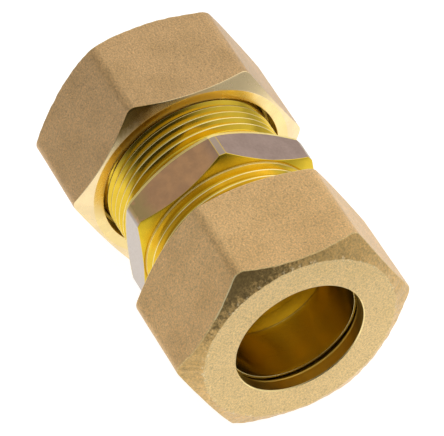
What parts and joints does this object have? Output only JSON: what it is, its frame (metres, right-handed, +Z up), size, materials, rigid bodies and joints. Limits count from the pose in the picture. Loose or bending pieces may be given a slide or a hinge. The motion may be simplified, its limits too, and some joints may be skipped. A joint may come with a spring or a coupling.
{
  "type": "compression fitting",
  "caption": "Straight brass compression coupling for plain tube: a threaded body with a hexagon collar, and a compression ring and a hexagon nut at each end.",
  "frame": {"origin": "the middle of the coupling's footprint, on the plane that the nuts' lower flats rest on", "axes": "+X along the tube axis towards nut_a, +Z up, the tube axis 18 mm above the origin"},
  "size_m": [0.0588, 0.0408, 0.036],
  "materials": {
    "body_brass": "turned bright threads, hexagon flats left matte as forged",
    "nut_brass": "matte shot-blasted forging with machined ends",
    "ring_brass": "turned satin"
  },
  "bodies": {
    "body": {"coupling_body": "body_brass"},
    "ring_a": {"ring_a": "ring_brass"},
    "nut_a": {"nut_a": "nut_brass"},
    "ring_b": {"ring_b": "ring_brass"},
    "nut_b": {"nut_b": "nut_brass"}
  },
  "joints": [
    {"name": "ring_a_travel", "type": "slide", "parent": "body", "child": "ring_a", "axis": [1, 0, 0], "range_m": [-0.0015, 0.003]},
    {"name": "nut_a_turn", "type": "hinge", "parent": "ring_a", "child": "nut_a", "pos_m": [0.02003, 0, 0.018], "axis": [1, 0, 0], "range_deg": [-360, 720]},
    {"name": "ring_b_travel", "type": "slide", "parent": "body", "child": "ring_b", "axis": [-1, 0, 0], "range_m": [-0.00275, 0.00175]},
    {"name": "nut_b_turn", "type": "hinge", "parent": "ring_b", "child": "nut_b", "pos_m": [-0.02003, 0, 0.018], "axis": [-1, 0, 0], "range_deg": [-660, 420]}
  ],
  "couplings": [
    {"joint": "ring_a_travel", "follows": "nut_a_turn", "m_per_rad": 0.00023873},
    {"joint": "ring_b_travel", "follows": "nut_b_turn", "m_per_rad": 0.00023873}
  ]
}
